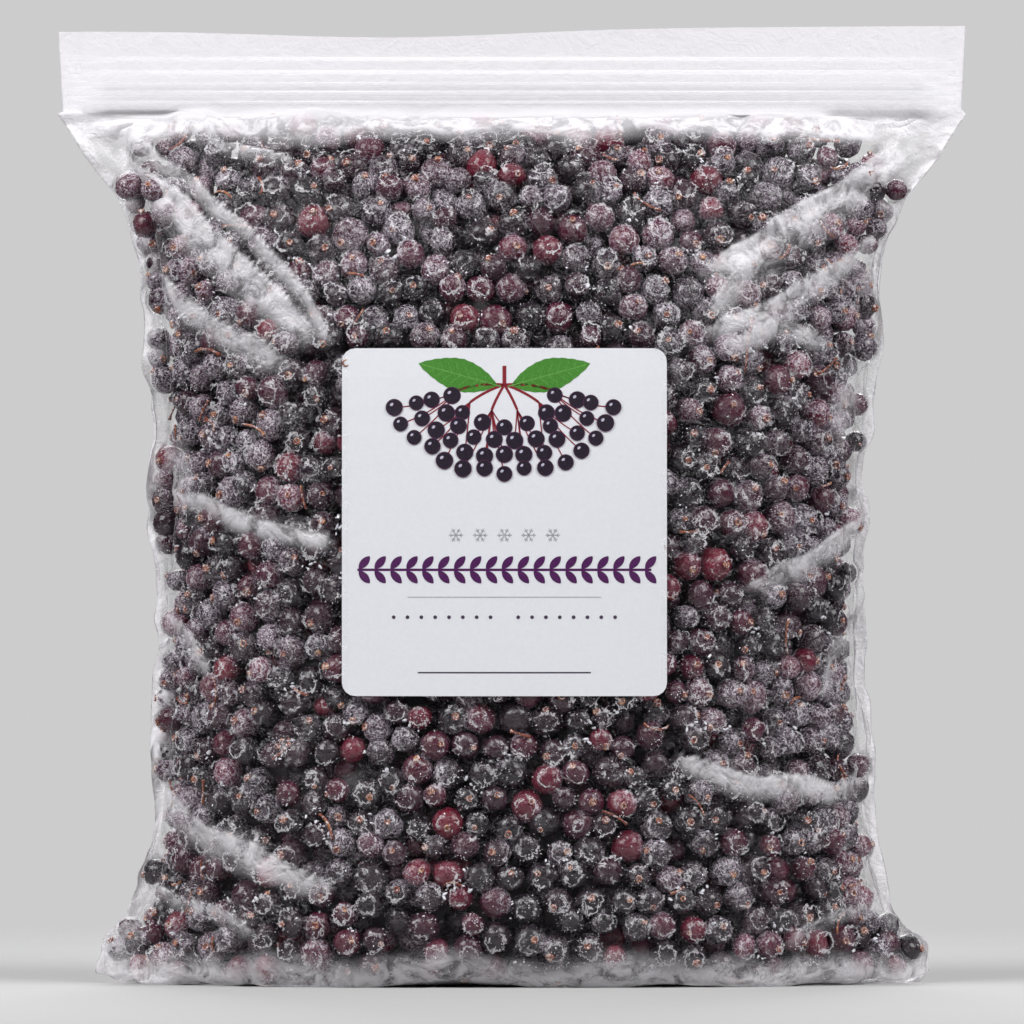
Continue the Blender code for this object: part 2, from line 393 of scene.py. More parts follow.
def settleFilm(film, pinned, flatKey):
    cloth = film.modifiers.new("settle", "CLOTH")
    settings = cloth.settings
    settings.quality = 5
    settings.mass = 0.15
    settings.tension_stiffness = settings.compression_stiffness = 60
    settings.shear_stiffness = 20
    settings.bending_stiffness = bagFilm["bending"]
    settings.tension_damping = settings.compression_damping = settings.shear_damping = 12
    settings.bending_damping = 0.5
    settings.air_damping = 3
    settings.effector_weights.gravity = 0
    settings.vertex_group_mass = pinned
    settings.rest_shape_key = flatKey
    settings.use_sewing_springs = True
    settings.sewing_force_max = 20
    contact = cloth.collision_settings
    contact.use_collision = True
    contact.collision_quality = 1
    contact.distance_min = 0.008
    contact.use_self_collision = False
    cloth.point_cache.frame_start, cloth.point_cache.frame_end = 1, bagFilm["frames"]
    scene.frame_start, scene.frame_end = 1, bagFilm["frames"]
    for step in range(1, bagFilm["frames"] + 1):
        scene.frame_set(step)


def buildFilm():
    wrapped, flat = layOutWall()
    across, upward = bagFilm["across"], bagFilm["upward"]
    bm = bmesh.new()
    flatPlace = bm.verts.layers.float_vector.new("flatPlace")
    front, back = gridWall(bm, wrapped, 1), gridWall(bm, wrapped, -1)
    for side, index in ((-1, front), (1, back)):
        for (i, j), v in index.items():
            v[flatPlace] = (flat[i, j, 0], side, flat[i, j, 2])
    edge = [(i, j) for i in range(upward + 1) for j in (0, across)] + [(0, j) for j in range(across + 1)]
    bmesh.ops.weld_verts(bm, targetmap={back[place]: front[place] for place in edge})
    bmesh.ops.recalc_face_normals(bm, faces=bm.faces)
    scale = bagFilm["simScale"]
    core = coreOf(bm, scale)
    sealed = [(i, j) for i in range(1, upward + 1) for c in range(1, bagFilm["sealColumns"] + 1) for j in (c, across - c)]
    for place in sealed:
        bm.edges.new((front[place], back[place]))
    for v in bm.verts:
        if v.co.z < bagFilm["mouth"] - 0.002:
            for wave, rise in bagFilm["looseWaves"]:
                v.co += noise.noise_vector(v.co / wave) * rise
    bm.verts.index_update()
    pairs = [(front[place].index, back[place].index) for place in sealed]
    flatPlaces = [(v[flatPlace].x * scale, 0, v[flatPlace].z * scale) for v in bm.verts]
    bmesh.ops.scale(bm, vec=(scale,) * 3, verts=bm.verts)
    mesh = bpy.data.meshes.new("film")
    bm.to_mesh(mesh)
    bm.free()
    film = bpy.data.objects.new("film", mesh)
    scene.collection.objects.link(film)
    film.shape_key_add(name="Basis")
    flatKey = film.shape_key_add(name="flat")
    flatKey.data.foreach_set("co", np.array(flatPlaces).ravel())
    flatKey.value = 0
    pinned = film.vertex_groups.new(name="lips")
    for v, place in zip(mesh.vertices, flatPlaces):
        z, grip = v.co.z / scale, 0
        if z > bagFilm["mouth"] - 0.0003:
            grip = 1
        elif abs(place[0]) / scale > bagFilm["flatHalfWidth"] - bagFilm["edgeGrip"]:
            low, high = bagFilm["shoulders"]
            grip = min(max((z - low) / (high - low), 1.25 - z / bagFilm["ears"], 0.25), 1) * 0.92
        if grip > 0:
            pinned.add([v.index], grip, "REPLACE")
    settleFilm(film, "lips", flatKey)
    settled = bpy.data.meshes.new_from_object(film.evaluated_get(bpy.context.evaluated_depsgraph_get()))
    bpy.data.objects.remove(film)
    bpy.data.objects.remove(core)
    bm = bmesh.new()
    bm.from_mesh(settled)
    bm.verts.ensure_lookup_table()
    bmesh.ops.delete(bm, geom=[e for e in bm.edges if not e.link_faces], context="EDGES")
    bmesh.ops.scale(bm, vec=(1 / scale,) * 3, verts=bm.verts)
    bm.verts.ensure_lookup_table()
    for a, b in pairs:  # the welded strips down the sides
        one, two = bm.verts[a], bm.verts[b]
        middle = (one.co + two.co) / 2
        one.co, two.co = middle - Vector((0, bagFilm["sealHalf"], 0)), middle + Vector((0, bagFilm["sealHalf"], 0))
    return bm


filmMesh = buildFilm()
print("film settled", len(filmMesh.verts))


def refineFilm(bm):
    mesh = bpy.data.meshes.new("film")
    bm.to_mesh(mesh)
    bm.free()
    film = bpy.data.objects.new("film", mesh)
    scene.collection.objects.link(film)
    finer = film.modifiers.new("finer", "SUBSURF")
    finer.levels = finer.render_levels = 1
    finer.boundary_smooth = "PRESERVE_CORNERS"
    made = bpy.data.meshes.new_from_object(film.evaluated_get(bpy.context.evaluated_depsgraph_get()))
    bpy.data.objects.remove(film)
    bm = bmesh.new()
    bm.from_mesh(made)
    return bm


def layUnderLabel(bm):
    # the film lies flat against the back of the label, and nothing of it is below the floor
    label = treeOf(nodes["label"].data)
    low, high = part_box("label")
    for v in bm.verts:
        v.co.z = max(v.co.z, bagFilm["floorGap"])
        if v.co.y > -0.02 or not low.z - 0.008 < v.co.z < high.z + 0.008:
            continue
        x, z = min(max(v.co.x, low.x + 0.004), high.x - 0.004), min(max(v.co.z, low.z + 0.004), high.z - 0.004)
        outside = math.hypot(max(low.x - v.co.x, 0, v.co.x - high.x), max(low.z - v.co.z, 0, v.co.z - high.z))
        if outside > 0.008:
            continue
        behind = ray(label, (x, 0, z), (0, -1, 0)).y + 0.00025
        grip = 1 - min(max((outside - 0.0015) / 0.0065, 0), 1)
        grip = grip * grip * (3 - 2 * grip)
        v.co.y += (behind - v.co.y) * grip


def drawShoulders(bm):
    # below the zip the side seams slope in from its ends
    flat = bm.verts.layers.float_vector["flatPlace"]
    half = bagFilm["flatHalfWidth"]
    heights, reaches = np.array(bagFilm["slope"]).T
    for hand in (-1, 1):
        seam = np.array(sorted((v.co.z, abs(v.co.x)) for v in bm.verts if v[flat].x * hand > half - 0.0004))
        for v in bm.verts:
            side = half - v[flat].x * hand
            if side < 0.024 and heights[0] < v.co.z < bagFilm["mouth"]:
                short = np.interp(v.co.z, heights, reaches) - np.interp(v.co.z, seam[:, 0], seam[:, 1])
                v.co.x += hand * short * (1 - side / 0.024) * min((v.co.z - heights[0]) / 0.004, 1)


filmMesh = refineFilm(filmMesh)
drawShoulders(filmMesh)
layUnderLabel(filmMesh)
filmMesh.normal_update()
print("film refined", len(filmMesh.faces))


# Frozen berries

berries = {
    "pitch": 0.0090,  # of the even layout that they settle from
    "radii": (0.0036, 0.0056),
    "shell": 0.0155,  # how far below the film they go
    "filmGap": 0.0003,
    "outward": 0.0005,  # how hard they press against the film at first
    "squash": 0.985,  # how near two may come, of their radii together
    "top": 0.2525,
    "sideRadii": (0.0033, 0.0046),
    "sideTop": 0.236,
    "seamGap": 0.0008,
    "seed": 11,
}

flatLayer = filmMesh.verts.layers.float_vector["flatPlace"]
frontSkin, backSkin = [], []
for face in filmMesh.faces:
    (frontSkin if sum(v[flatLayer].y for v in face.verts) < 0 else backSkin).append(face)


def skinTree(faces):
    places, corners, index = [], [], {}
    for face in faces:
        loop = []
        for v in face.verts:
            if v not in index:
                index[v] = len(places)
                places.append(v.co.copy())
            loop.append(index[v])
        corners.append(loop)
    return BVHTree.FromPolygons(places, corners)


skinTrees = (skinTree(frontSkin), skinTree(backSkin))


def filmRoom(place):  # how far inside the film a point is, and the way out
    place = Vector(place)
    spot, normal, face, away = min((tree.find_nearest(place) for tree in skinTrees), key=lambda found: found[3])
    out = (spot - place) / max(away, 1e-7)
    return (away, out) if between(place) else (-away, -out)


def settle(places, radii, steps, press):
    # pressed against the film and pushed apart, step by step
    reach = berries["radii"][1]
    for step in range(steps):
        out = press * (1 - step / steps)
        for i, place in enumerate(places):
            room, normal = filmRoom(place)
            if room < berries["shell"]:
                place += np.array(normal) * (min(out, room - radii[i] - berries["filmGap"]))
            if place[1] * np.sign(place[1]) < 0.018:  # where the bag is thin, the other wall counts too
                room, normal = filmRoom(place)
                if room < radii[i] + berries["filmGap"]:
                    place -= np.array(normal) * (radii[i] + berries["filmGap"] - room) * 0.7
            place[2] = max(place[2], radii[i] + 0.0009)
        tree = treeOfPoints(places)
        shift = np.zeros_like(places)
        for i, place in enumerate(places):
            for spot, other, away in tree.find_range(place, radii[i] + reach):
                if other > i:
                    short = (radii[i] + radii[other]) * berries["squash"] - away
                    if short > 0 and away > 1e-6:
                        push = (place - np.array(spot)) / away * short * 0.5
                        shift[i] += push
                        shift[other] -= push
        places += np.clip(shift, -0.0015, 0.0015)
    return places


def treeOfPoints(places):
    tree = KDTree(len(places))
    for i, place in enumerate(places):
        tree.insert(place, i)
    tree.balance()
    return tree


def between(place):  # a wall in front of it and a wall behind it
    front, back = (skinTrees[k].ray_cast(Vector(place), Vector((0, way, 0)))[0] for k, way in ((0, -1), (1, 1)))
    return front is not None and back is not None


def packBerries():
    random = np.random.default_rng(berries["seed"])
    pitch = berries["pitch"]
    low, high = berries["radii"]
    rise, row = pitch * math.sqrt(2 / 3), pitch * math.sqrt(3) / 2
    places = []
    for k in range(int(berries["top"] / rise) + 1):
        for j in range(-8, 9):
            for i in range(-17, 18):
                places.append(((i + 0.5 * (j % 2) + 0.5 * (k % 2)) * pitch, (j + (k % 2) / 3) * row, 0.004 + k * rise))
    places = np.array(places) + random.normal(0, pitch * 0.16, (len(places), 3))
    radii = low + (high - low) * random.beta(2.6, 2.6, len(places))

    def outerOnes(places, radii):
        keep = np.array([between(p) and 0.001 < filmRoom(p)[0] < berries["shell"] and p[2] < berries["top"] for p in places])
        return places[keep], radii[keep]

    places, radii = outerOnes(places, radii)
    places = settle(places, radii, 10, berries["outward"])
    # small ones fill what gaps are left
    spare = np.array([halfBox.x, halfBox.y, halfBox.z]) * random.uniform(-1, 1, (26000, 3)) + np.array([0, 0, halfBox.z])
    spare, spareRadii = outerOnes(spare, low + (high - low) * random.uniform(0, 0.5, len(spare)))
    added, addedRadii = list(places), list(radii)
    tree = treeOfPoints(places)
    for place, radius in zip(spare, spareRadii):
        near = tree.find_range(place, radius + high)
        if any(away < (radius + radii[i]) * 0.84 for spot, i, away in near):
            continue
        if any(np.linalg.norm(place - other) < (radius + size) * 0.84
               for other, size in zip(added[len(places):], addedRadii[len(places):])):
            continue
        added.append(place)
        addedRadii.append(radius)
    print("gaps filled with", len(added) - len(places))
    places, radii = settle(np.array(added), np.array(addedRadii), 14, berries["outward"] * 0.7), np.array(addedRadii)
    rooms = np.array([filmRoom(place)[0] for place in places])
    radii = np.minimum(radii, np.minimum(rooms - berries["filmGap"], places[:, 2] - 0.0009))
    fits = (radii > low * 0.70) & (rooms < berries["shell"]) & np.array([between(place) for place in places])
    places, radii, rooms = places[fits], radii[fits], rooms[fits]
    return lineSides(places, radii, rooms, random)


def lineSides(places, radii, rooms, random):
    # the last ones sit against the side seams and bulge the film there
    low, high = berries["sideRadii"]
    for hand in (-1, 1):
        seam = np.array(sorted((v.co.z, v.co.x) for v in filmMesh.verts
                               if v[flatLayer].x * hand > bagFilm["flatHalfWidth"] - 0.0004))
        for inward in (0.0, 0.0066, 0.0132):
            z = 0.010 + inward * 0.3
            while z < berries["sideTop"]:
                radius = random.uniform(low, high)
                x = np.interp(z, seam[:, 0], seam[:, 1]) - hand * (radius + berries["seamGap"] + inward + random.uniform(0, 0.0012))
                for side in (-1, 1) if inward else (0,):
                    spot = np.array([x, side * (radius * 0.9 + inward * 0.25) + random.uniform(-0.0012, 0.0012), z])
                    gaps = np.linalg.norm(places - spot, axis=1) - radii - radius
                    if gaps.min() > -radius * (0.95 if inward else 0.72):
                        places = np.vstack([places, spot])
                        radii, rooms = np.append(radii, radius), np.append(rooms, radius)
                z += radius * 1.45
    print("with the side columns", len(places))
    return places, radii, rooms


halfBox = Vector(((cadBox[1].x - cadBox[0].x) / 2, (cadBox[1].y - cadBox[0].y) / 2, cadBox[1].z / 2))
berryPlaces, berryRadii, berryDepths = packBerries()
print("berries packed", len(berryPlaces), "mean radius", round(float(berryRadii.mean()), 5))


berryLook = {
    "uneven": 0.07,  # how far a berry is from round
    "crevice": 0.0012,  # frost gathers where berries come nearer than this
    "outer": 0.0072,  # a berry whose middle is nearer the film than this is an outer one
    "crowns": 0.60,  # share of the outer berries whose crown shows
    "crownRadius": (0.00080, 0.00120),
    "crystals": 44000,
    "crystalRadius": (0.00013, 0.00034),
}


def scatter(template, matrices, batch=80):
    # many copies of one small mesh, joined in batches because a growing bmesh slows down
    joined = bmesh.new()
    for start in range(0, len(matrices), batch):
        bm = bmesh.new()
        for matrix in matrices[start:start + batch]:
            first = len(bm.verts)
            bm.from_mesh(template)
            bm.verts.ensure_lookup_table()
            bmesh.ops.transform(bm, matrix=matrix, verts=bm.verts[first:])
        mesh = bpy.data.meshes.new("batch")
        bm.to_mesh(mesh)
        bm.free()
        joined.from_mesh(mesh)
        bpy.data.meshes.remove(mesh)
    joined.verts.ensure_lookup_table()
    return joined


def templateFrom(bm):
    mesh = bpy.data.meshes.new("template")
    bm.to_mesh(mesh)
    bm.free()
    return mesh


def thread(signal, level, inner, outer):  # thin curling lines where a noise crosses a level
    return (signal - level).atLeast((signal - level) * -1).between(inner, outer, 1, 0)


def frostedSkin():
    # dark skin, from black to wine red, under frost
    paint = Paint("frostedSkin")
    tint, share, crevice = paint.share("tint"), paint.share("frost"), paint.share("crevice")
    skin = paint.ramp(tint, [(0.0, (0.008, 0.005, 0.009, 1)), (0.42, (0.013, 0.005, 0.011, 1)),
                             (0.66, (0.036, 0.005, 0.016, 1)), (0.88, (0.085, 0.007, 0.025, 1)),
                             (1.0, (0.17, 0.010, 0.028, 1))])
    mottle = paint.cloud(420, detail=2)
    skin = paint.blend(mottle.between(0.46, 0.74) * 0.35, skin, (0.055, 0.022, 0.042, 1))
    grain = paint.cloud(1500, detail=2, roughness=0.6)
    patches = paint.cloud(42, detail=2)
    curl = paint.cloud(300, detail=3, roughness=0.65, distortion=2.2)
    high = paint.height().between(0.02, 0.235, -0.04, 0.03)
    amount = curl * 0.50 + grain * 0.62 + share * 0.34 + crevice * 0.26 + high + patches * 0.62
    frost = amount.between(1.39, 1.55)
    webs = (thread(curl, 0.50, 0.010, 0.042).atLeast(thread(mottle, 0.46, 0.008, 0.034) * 0.8)
            * (amount - grain * 0.5).between(0.72, 0.92))
    dots = paint.cells(1350).between(0.12, 0.27, 1, 0) * amount.between(1.02, 1.24)
    cover = frost.atLeast(dots * 0.85).atLeast(webs * 0.85).atLeast(amount.between(0.95, 1.40) * 0.05)
    white = paint.blend(grain.between(0.40, 0.66), (0.34, 0.25, 0.33, 1), (0.88, 0.83, 0.90, 1))
    bump = paint.bump(mottle * 0.8 + curl * 1.2, 1.0, 0.0008)
    return paint.finish(paint.surface({
        "Base Color": paint.blend(cover, skin, white), "Roughness": cover.between(0, 1, 0.20, 0.50),
        "Normal": bump, "Sheen Weight": 0.03, "Sheen Roughness": 0.35, "Sheen Tint": (0.9, 0.84, 0.95, 1),
        "Coat Weight": (1 - cover) * 0.5, "Coat Roughness": 0.12}))


def buildBerries():
    random = np.random.default_rng(berries["seed"] + 1)
    neighbours = treeOfPoints(berryPlaces)
    round_ = bmesh.new()
    bmesh.ops.create_icosphere(round_, subdivisions=2, radius=1)
    berry = templateFrom(round_)
    corners = len(berry.vertices)
    material = frostedSkin()
    made = []
    for name, chosen in (("berries_front", berryPlaces[:, 1] < 0), ("berries_back", berryPlaces[:, 1] >= 0)):
        order = np.flatnonzero(chosen)
        matrices = []
        for i in order:
            shape = Matrix.Diagonal((*(berryRadii[i] * (1 + berryLook["uneven"] * random.uniform(-1, 0.4, 3))), 1))
            turn = Vector(random.normal(size=3)).normalized().to_track_quat("Z", "Y").to_matrix().to_4x4()
            matrices.append(Matrix.Translation(berryPlaces[i]) @ turn @ shape)
        bm = scatter(berry, matrices)
        layers = [bm.verts.layers.float.new(key) for key in ("tint", "frost", "crevice")]
        bm.verts.ensure_lookup_table()
        for slot, i in enumerate(order):
            tint, share, middle = random.random(), random.random(), Vector(berryPlaces[i])
            share = share * 0.9 - 0.28 + 0.48 * min(abs(middle.x) / 0.09, 1) ** 2  # more frost towards the sides
            near = [(Vector(berryPlaces[j]), berryRadii[j]) for found, j, away
                    in neighbours.find_range(middle, berryRadii[i] + berries["radii"][1] + 0.0015) if j != i]
            for v in bm.verts[slot * corners:(slot + 1) * corners]:
                v.co += (v.co - middle) * (noise.noise(v.co * 380) * 0.11 + min(noise.noise(v.co * 190), 0.1) * 0.16)
                gap = min(((v.co - other).length - size for other, size in near), default=0.01)
                v[layers[0]], v[layers[1]] = tint, share
                v[layers[2]] = 1 - min(max(gap / berryLook["crevice"], 0), 1)
        piece = finishMesh(name, bm, material)
        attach(piece, "root")
        made.append(piece)
    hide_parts("berry_bed", *[n for n in nodes if n.startswith("berry_") and n != "berry_bed"])
    return made


def outwardAt(place):
    nearest = [tree.find_nearest(Vector(place)) for tree in skinTrees]
    spot, normal, face, away = min(nearest, key=lambda found: found[3])
    return normal


def buildCrowns():
    # the dried flower's ring at the end of a berry: a small raised cup
    random = np.random.default_rng(berries["seed"] + 2)
    cup = bmesh.new()
    profile = [(0.0, 0.05), (0.42, 0.00), (0.66, 0.34), (0.92, 0.50), (1.0, 0.10), (0.98, -0.40)]
    points = [cup.verts.new((x, 0, z)) for x, z in profile]
    edges = [cup.edges.new(pair) for pair in zip(points, points[1:])]
    bmesh.ops.spin(cup, geom=points + edges, cent=(0, 0, 0), axis=(0, 0, 1), angle=math.tau, steps=7, use_merge=True)
    bmesh.ops.remove_doubles(cup, verts=cup.verts, dist=0.001)
    bmesh.ops.recalc_face_normals(cup, faces=cup.faces)
    for v in cup.verts:  # a ragged rim
        v.co *= 1 + 0.18 * noise.noise(v.co * 2.3)
    cup = templateFrom(cup)
    matrices, facings = [], []
    for i in np.flatnonzero(berryDepths < berryLook["outer"]):
        outward = outwardAt(berryPlaces[i])
        tip = (outward + Vector(random.normal(size=3)) * 0.42).normalized()
        facings.append(tip)
        if random.random() > berryLook["crowns"]:
            continue
        size = random.uniform(*berryLook["crownRadius"])
        turn = tip.to_track_quat("Z", "Y").to_matrix().to_4x4()
        matrices.append(Matrix.Translation(Vector(berryPlaces[i]) + tip * (berryRadii[i] * 0.97)) @ turn
                        @ Matrix.Rotation(random.uniform(0, math.tau), 4, "Z") @ Matrix.Scale(size, 4))
    bm = scatter(cup, matrices)
    paint = Paint("driedCrown")
    tone = paint.cloud(900, detail=2)
    colour = paint.ramp(tone, [(0.35, (0.10, 0.018, 0.012, 1)), (0.52, (0.26, 0.060, 0.025, 1)), (0.68, (0.50, 0.27, 0.13, 1))])
    white = paint.cloud(1900, detail=2).between(0.52, 0.62) * 0.8
    material = paint.finish(paint.surface({"Base Color": paint.blend(white, colour, (0.82, 0.80, 0.84, 1)), "Roughness": 0.6}))
    crowns = finishMesh("berry_crowns", bm, material)
    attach(crowns, "root")
    return facings


def buildCrystals(facings):
    # rime grown on the outer berries, thickest round the crowns
    random = np.random.default_rng(berries["seed"] + 3)
    outer = np.flatnonzero(berryDepths < berryLook["outer"])
    shard = bmesh.new()
    bmesh.ops.create_cone(shard, cap_ends=True, segments=3, radius1=1, radius2=0, depth=2.6)
    shard = templateFrom(shard)
    low, high = berryLook["crystalRadius"]
    perBerry = berryLook["crystals"] / len(outer)
    batches = {"rime_front": [], "rime_back": []}
    for order, i in enumerate(outer):
        middle, radius, tip = Vector(berryPlaces[i]), berryRadii[i], facings[order]
        outward = outwardAt(middle)
        amount = perBerry * random.uniform(0.3, 1.7)
        for grain in range(int(amount)):
            if random.random() < 0.35:
                way = (tip + Vector(random.normal(size=3)) * 0.28).normalized()
            else:
                way = Vector(random.normal(size=3)).normalized()
                if way.dot(outward) < -0.25:
                    way = way.reflect(outward)
            size = low + (high - low) * random.beta(1.6, 3.2)
            lean = (way + Vector(random.normal(size=3)) * 0.5).normalized().to_track_quat("Z", "Y").to_matrix().to_4x4()
            batches["rime_front" if middle.y < 0 else "rime_back"].append(
                Matrix.Translation(middle + way * (radius * 0.985)) @ lean
                @ Matrix.Rotation(random.uniform(0, math.tau), 4, "Z") @ Matrix.Diagonal((size, size * 0.7, size, 1)))
    paint = Paint("rimeCrystals")
    colour = paint.blend(paint.cloud(1200), (0.62, 0.60, 0.68, 1), (0.92, 0.92, 0.96, 1))
    material = paint.finish(paint.surface({"Base Color": colour, "Roughness": 0.25, "Coat Weight": 0.5}))
    for name, matrices in batches.items():
        piece = finishMesh(name, scatter(shard, matrices, batch=400), material, smooth=False)
        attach(piece, "root")


buildBerries()
print("berries built")
buildCrystals(buildCrowns())
print("crowns and rime built")


# Loose bits between the berries

bits = {
    "stalks": 150,
    "stalkLength": (0.0035, 0.0105),
    "stalkRadius": (0.00028, 0.00048),
    "ice": 1500,
    "iceRadius": (0.0002, 0.0009),
    "seed": 31,
}


def outerSpots(random, count, below):
    # places just under the film, in the dips between outer berries
    outer = np.flatnonzero(berryDepths < berryLook["outer"])
    tree = treeOfPoints(berryPlaces)
    spots = []
    while len(spots) < count:
        i = random.choice(outer)
        near = [j for spot, j, away in tree.find_n(berryPlaces[i], 5) if j != i and berryDepths[j] < berryLook["outer"]]
        if not near:
            continue
        j = near[int(random.integers(len(near)))]
        middle = Vector((berryPlaces[i] + berryPlaces[j]) / 2)
        outward = outwardAt(middle)
        room = filmRoom(middle)[0]
        spots.append((middle + outward * (room - below), outward, Vector(berryPlaces[j] - berryPlaces[i]).normalized()))
    return spots


def buildStalks():
    random = np.random.default_rng(bits["seed"])
    joined = bmesh.new()
    for spot, outward, along in outerSpots(random, bits["stalks"], 0.0012):
        bm = bmesh.new()
        across = outward.cross(along).normalized()
        lean = (across + along * random.uniform(-0.8, 0.8) + outward * random.uniform(-0.1, 0.1)).normalized()
        length, radius = random.uniform(*bits["stalkLength"]), random.uniform(*bits["stalkRadius"])
        bend = along * random.uniform(-0.0014, 0.0014)
        bmesh.ops.create_cone(bm, cap_ends=True, segments=6, radius1=radius, radius2=radius * 0.8, depth=length)
        sides = [e for e in bm.edges if abs(e.verts[0].co.z - e.verts[1].co.z) > length / 2]
        bmesh.ops.subdivide_edges(bm, edges=sides, cuts=5)
        turn = lean.to_track_quat("Z", "Y").to_matrix()
        for v in bm.verts:
            t = v.co.z / length
            swell = 1 + 0.9 * max(0, abs(t) - 0.40) * 10 * (t > 0) + 0.25 * noise.noise(Vector((t * 6, spot.x * 900, 0)))
            local = Vector((v.co.x * swell, v.co.y * swell, v.co.z))
            v.co = spot + turn @ local + bend * (4 * t * t - 1)
        mesh = templateFrom(bm)
        joined.from_mesh(mesh)
    paint = Paint("dryStalk")
    tone = paint.cloud(420, detail=3)
    wood = paint.ramp(tone, [(0.3, (0.13, 0.018, 0.012, 1)), (0.5, (0.22, 0.046, 0.018, 1)), (0.72, (0.42, 0.17, 0.06, 1))])
    rime = paint.cloud(1500, detail=2).between(0.56, 0.64) * 0.8
    material = paint.finish(paint.surface({"Base Color": paint.blend(rime, wood, (0.82, 0.80, 0.84, 1)), "Roughness": 0.5,
                                           "Normal": paint.bump(tone, 0.5, 0.0002)}))
    stalks = finishMesh("stalk_bits", joined, material)
    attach(stalks, "root")
    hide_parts(*[n for n in nodes if n.startswith("stalk_")])


def buildIce():
    random = np.random.default_rng(bits["seed"] + 1)
    lump = bmesh.new()
    bmesh.ops.create_icosphere(lump, subdivisions=1, radius=1)
    for v in lump.verts:
        v.co = Vector((v.co.x, v.co.y * 0.6, v.co.z * 1.4)) * (1 + 0.9 * noise.noise(v.co * 2.1))
    low, high = bits["iceRadius"]
    matrices = []
    for spot, outward, along in outerSpots(random, bits["ice"] // 3, 0.0016):
        for grain in range(3):
            size = low + (high - low) * random.beta(1.4, 3)
            place = spot + along.cross(outward) * random.normal() * 0.0016 + along * random.normal() * 0.0008
            turn = Vector(random.normal(size=3)).normalized().to_track_quat("Z", "Y").to_matrix().to_4x4()
            matrices.append(Matrix.Translation(place) @ turn @ Matrix.Scale(size, 4))
    paint = Paint("iceGrains")
    colour = paint.blend(paint.cloud(900), (0.55, 0.54, 0.62, 1), (0.90, 0.90, 0.94, 1))
    material = paint.finish(paint.surface({"Base Color": colour, "Roughness": 0.3, "Coat Weight": 0.4}))
    ice = finishMesh("ice_grains", scatter(templateFrom(lump), matrices, batch=150), material, smooth=False)
    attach(ice, "root")


buildStalks()
buildIce()
print("stalks and ice built")


# The zip's ribs on the outside of both walls

zipRibs = {
    # height, half height, how far it stands out
    "ribs": ((0.2703, 0.00065, 0.00008), (0.2664, 0.00065, 0.00012), (0.2630, 0.00060, 0.00012),
             (0.2603, 0.00080, 0.00026), (0.2575, 0.00060, 0.00018)),
    "halfLength": 0.1300,
}


def milkyPlastic(name, cover, colour):
    paint = Paint(name)
    streak = paint.node("ShaderNodeMapping", {"vector_type": "POINT"}, {"Vector": paint.place(), "Scale": (20, 1, 900)})
    tone = paint.cloud(1.0, detail=2, at=streak)
    white = paint.surface({"Base Color": paint.blend(tone, colour, tuple(c * 0.93 for c in colour[:3]) + (1,)),
                           "Roughness": 0.32, "Coat Weight": 0.3, "Normal": paint.bump(tone, 0.2, 0.0001)})
    clear = paint.node("ShaderNodeBsdfTransparent")
    return paint.finish(paint.mixShader(tone.between(0.3, 0.7, cover - 0.06, cover + 0.06), clear, white))


def buildRibs():
    material = milkyPlastic("zipPlastic", 0.36, (0.90, 0.90, 0.92, 1))
    bm = bmesh.new()
    for height, half, stand in zipRibs["ribs"]:
        for way in (-1, 1):
            made = bmesh.ops.create_cone(bm, cap_ends=True, segments=10, radius1=1, radius2=1, depth=2)["verts"]
            place = Vector((0, way * (lipDepth + 0.0001), height))
            bmesh.ops.transform(bm, verts=made, matrix=Matrix.Translation(place)
                                @ Matrix.Diagonal((zipRibs["halfLength"], stand, half, 1)) @ Matrix.Rotation(math.pi / 2, 4, "Y"))
    ribs = finishMesh("zip_ribs", bm, material)
    ribs.visible_shadow = False
    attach(ribs, "root")
    for name in ("zip_track_front", "zip_track_back"):
        nodes[name].data.materials.clear()
        nodes[name].data.materials.append(material)


lipDepth = float(formDepth[-1, bagFilm["across"] // 2])
buildRibs()
print("zip built")


# The label: white paper, with a drawn sprig and plain ornaments in place of words

labelPrint = {
    "lift": 0.00004,
    "dark": (0.012, 0.006, 0.016, 1),
    "purple": (0.060, 0.006, 0.072, 1),
    "stem": (0.200, 0.012, 0.022, 1),
    "leaf": (0.050, 0.200, 0.022, 1),
    "vein": (0.100, 0.290, 0.055, 1),
    "rim": (0.055, 0.014, 0.050, 1),
    "grey": (0.36, 0.36, 0.39, 1),
    "ink": (0.050, 0.035, 0.065, 1),
    "shine": (0.42, 0.40, 0.50, 1),
}


